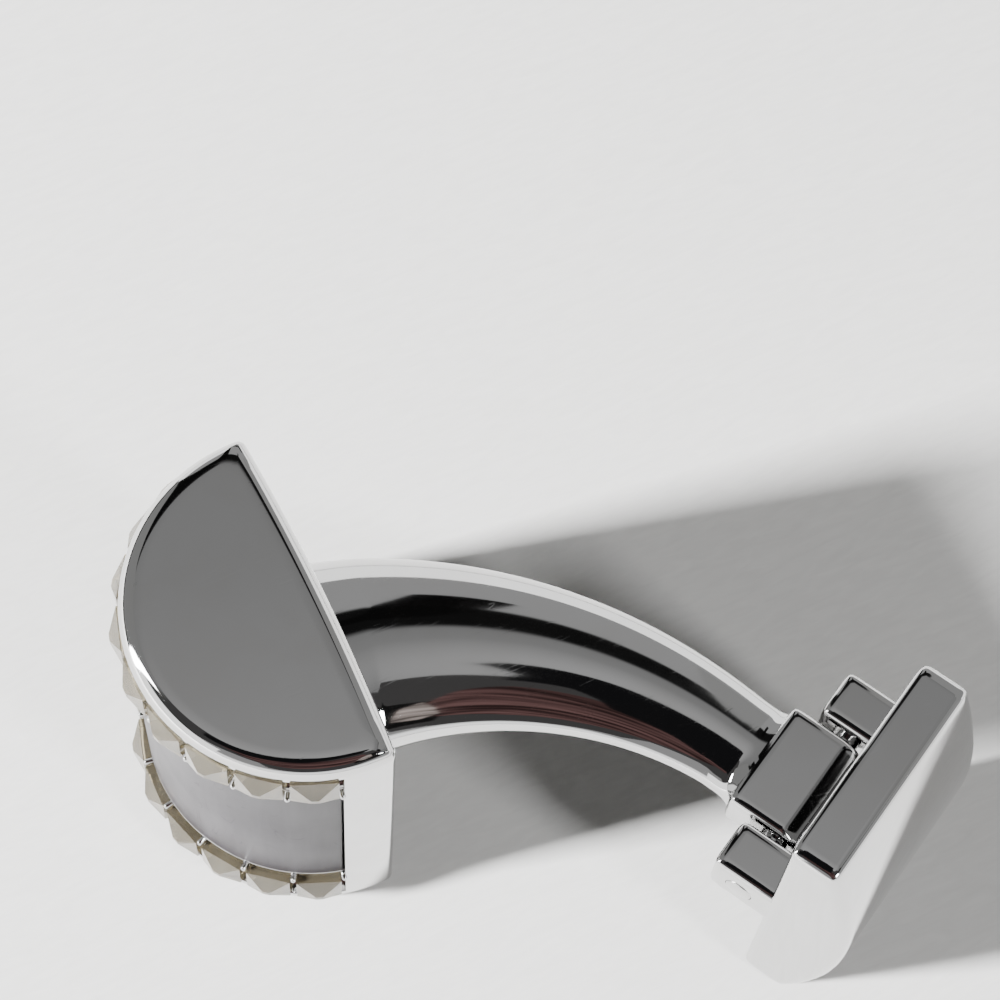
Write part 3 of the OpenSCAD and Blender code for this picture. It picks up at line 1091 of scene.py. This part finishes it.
def make_world():
    """Studio round the cufflink: bright low down in mirrors, and a soft dome for the light."""
    world = bpy.data.worlds.new("studio")
    bpy.context.scene.world = world
    world.use_nodes = True
    tree = world.node_tree
    place = tree.nodes.new("ShaderNodeTexCoord")
    split = tree.nodes.new("ShaderNodeSeparateXYZ")
    tree.links.new(place.outputs["Generated"], split.inputs["Vector"])
    level = split.outputs["Z"]
    layers = tree.nodes.new("ShaderNodeValToRGB")
    tree.links.new(level, layers.inputs["Fac"])
    stops = layers.color_ramp.elements
    for stop, (height, _) in zip((stops[0], stops[1]), MIRRORED):
        stop.position = height
    for height, _ in MIRRORED[2:]:
        stops.new(height)
    for stop, (_, brightness) in zip(stops, MIRRORED):
        stop.color = (brightness, brightness, brightness, 1)
    dome = colour_mix(tree, ramp(tree, 0.0, 1.0, level), BLACK,
                      [DOME_HIGH * part for part in DOME_TINT])
    rays = tree.nodes.new("ShaderNodeLightPath")
    mirrored = math_node(tree, "MULTIPLY", before_matt(tree), rays.outputs["Is Glossy Ray"])
    tone = colour_mix(tree, mirrored, dome, layers.outputs["Color"])
    tree.links.new(tone, tree.nodes["Background"].inputs["Color"])


def make_lamps():
    """Low key lamp from the left, and a weak one from the near right."""
    for name, azimuth, elevation, distance, wide, high, light, mirrored in LAMPS:
        data = bpy.data.lights.new(name, "AREA")
        data.shape = "RECTANGLE"
        data.size = distance * math.radians(wide)
        data.size_y = distance * math.radians(high)
        data.energy = math.pi * light * distance ** 2
        lamp = bpy.data.objects.new(name, data)
        lamp.visible_glossy = mirrored
        towards = direction(azimuth, elevation)
        lamp.location = STUDIO_CENTRE + distance * towards
        lamp.rotation_euler = towards.to_track_quat("Z", "Y").to_euler()
        bpy.context.scene.collection.objects.link(lamp)


# Prongs and stones


def prong_tree(material):
    """Geometry nodes that stand a row of domed prongs round the curved front."""
    tree = bpy.data.node_groups.new("row of prongs", "GeometryNodeTree")
    sizes = {"Count": ("NodeSocketInt", STONES_PER_ROW + 1),
             "Half angle": ("NodeSocketFloat", math.radians(ROW_HALF_ANGLE)),
             "Height": ("NodeSocketFloat", RAIL_Z),
             "Middle radius": ("NodeSocketFloat", PRONG_TOP - PRONG_LENGTH / 2),
             "Prong radius": ("NodeSocketFloat", PRONG_RADIUS),
             "Prong length": ("NodeSocketFloat", PRONG_LENGTH)}
    for label, (kind, value) in sizes.items():
        tree.interface.new_socket(label, in_out="INPUT", socket_type=kind).default_value = value
    tree.interface.new_socket("Geometry", in_out="OUTPUT", socket_type="NodeSocketGeometry")
    start = tree.nodes.new("NodeGroupInput").outputs
    end = tree.nodes.new("NodeGroupOutput")

    last = math_node(tree, "SUBTRACT", start["Count"], 1.0)
    index = tree.nodes.new("GeometryNodeInputIndex").outputs["Index"]
    share = math_node(tree, "DIVIDE", index, last)
    swing = math_node(tree, "MULTIPLY", math_node(tree, "SUBTRACT", share, 0.5), 2.0)
    angle = math_node(tree, "MULTIPLY", swing, start["Half angle"])
    radius = start["Middle radius"]
    x = math_node(tree, "SUBTRACT", HEAD_AXIS_X,
                  math_node(tree, "MULTIPLY", radius, math_node(tree, "COSINE", angle)))
    y = math_node(tree, "MULTIPLY", math_node(tree, "MULTIPLY", radius, -1.0),
                  math_node(tree, "SINE", angle))
    spots = tree.nodes.new("GeometryNodePoints")
    tree.links.new(start["Count"], spots.inputs["Count"])
    tree.links.new(combined(tree, x, y, start["Height"]), spots.inputs["Position"])

    prong = tree.nodes.new("GeometryNodeMeshUVSphere")
    prong.inputs["Segments"].default_value = PRONG_SIDES
    prong.inputs["Rings"].default_value = PRONG_RINGS
    tree.links.new(start["Prong radius"], prong.inputs["Radius"])
    # The sphere's two halves move apart, which draws it out into a pin with domed ends
    position = tree.nodes.new("GeometryNodeInputPosition").outputs["Position"]
    split = tree.nodes.new("ShaderNodeSeparateXYZ")
    tree.links.new(position, split.inputs["Vector"])
    spare = math_node(tree, "SUBTRACT", math_node(tree, "MULTIPLY", start["Prong length"], 0.5),
                      start["Prong radius"])
    lift = math_node(tree, "MULTIPLY", math_node(tree, "SIGN", split.outputs["Z"]), spare)
    drawn = tree.nodes.new("GeometryNodeSetPosition")
    tree.links.new(prong.outputs["Mesh"], drawn.inputs["Geometry"])
    tree.links.new(combined(tree, z=lift), drawn.inputs["Offset"])

    stand = tree.nodes.new("GeometryNodeInstanceOnPoints")
    tree.links.new(spots.outputs["Points"], stand.inputs["Points"])
    tree.links.new(drawn.outputs["Geometry"], stand.inputs["Instance"])
    outwards = combined(tree, y=math.pi / 2, z=math_node(tree, "ADD", angle, math.pi))
    tree.links.new(outwards, stand.inputs["Rotation"])
    real = tree.nodes.new("GeometryNodeRealizeInstances")
    tree.links.new(stand.outputs["Instances"], real.inputs["Geometry"])
    paint = tree.nodes.new("GeometryNodeSetMaterial")
    paint.inputs["Material"].default_value = material
    tree.links.new(real.outputs["Geometry"], paint.inputs["Geometry"])
    tree.links.new(paint.outputs["Geometry"], end.inputs["Geometry"])
    return tree


def prong_row(tree, name, height):
    """One row of prongs as a plain mesh."""
    piece = bpy.data.objects.new(name, bpy.data.meshes.new(name))
    bpy.context.scene.collection.objects.link(piece)
    row = piece.modifiers.new("row", "NODES")
    row.node_group = tree
    height_socket = next(item for item in tree.interface.items_tree if item.name == "Height")
    row[height_socket.identifier] = height
    return apply_modifiers(piece)


def dress_stone(node, material):
    """Sharp but not knife-edged facets on a stone that the frame carries."""
    node.data.materials.clear()
    node.data.materials.append(material)
    weld = node.modifiers.new("one skin", "WELD")
    weld.merge_threshold = SKIN_GAP * MM
    facets = node.modifiers.new("facet edges", "BEVEL")
    facets.width = FACET_EDGE * MM
    facets.segments = 1
    facets.limit_method = "ANGLE"
    facets.angle_limit = FACET_ANGLE


make_camera()
make_floor()
make_walls()
make_cards()
make_glows()
make_world()
make_lamps()

wear = wear_group()
silver = silver_material(wear)
stone = stone_material()
finish_piece("link_body", link_body(), silver, LINK, "silver", "link_frame")
prongs = prong_tree(silver)
finish_piece("lower_prongs", prong_row(prongs, "lower prongs", RAIL_Z),
             silver, LINK, "silver", "link_frame")
finish_piece("upper_prongs", prong_row(prongs, "upper prongs", HEAD_HEIGHT - RAIL_Z),
             silver, LINK, "silver", "link_frame")
finish_piece("inlay_band", inlay_band(), inlay_material(wear), LINK, "inlay", "center_band")
finish_piece("toggle_bar", toggle_bar(), silver, TOGGLE, "silver", "toggle")
finish_piece("toggle_pin", hinge_pin(), silver, TOGGLE, "silver", "hinge_pin")
for row_name in ("upper", "lower"):
    for number in range(1, STONES_PER_ROW + 1):
        dress_stone(frame["nodes"][f"{row_name}_stone_{number}"], stone)

boxes = {"cad": cad_box, "visual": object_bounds()}
{key: [list(corner) for corner in box] for key, box in boxes.items()}
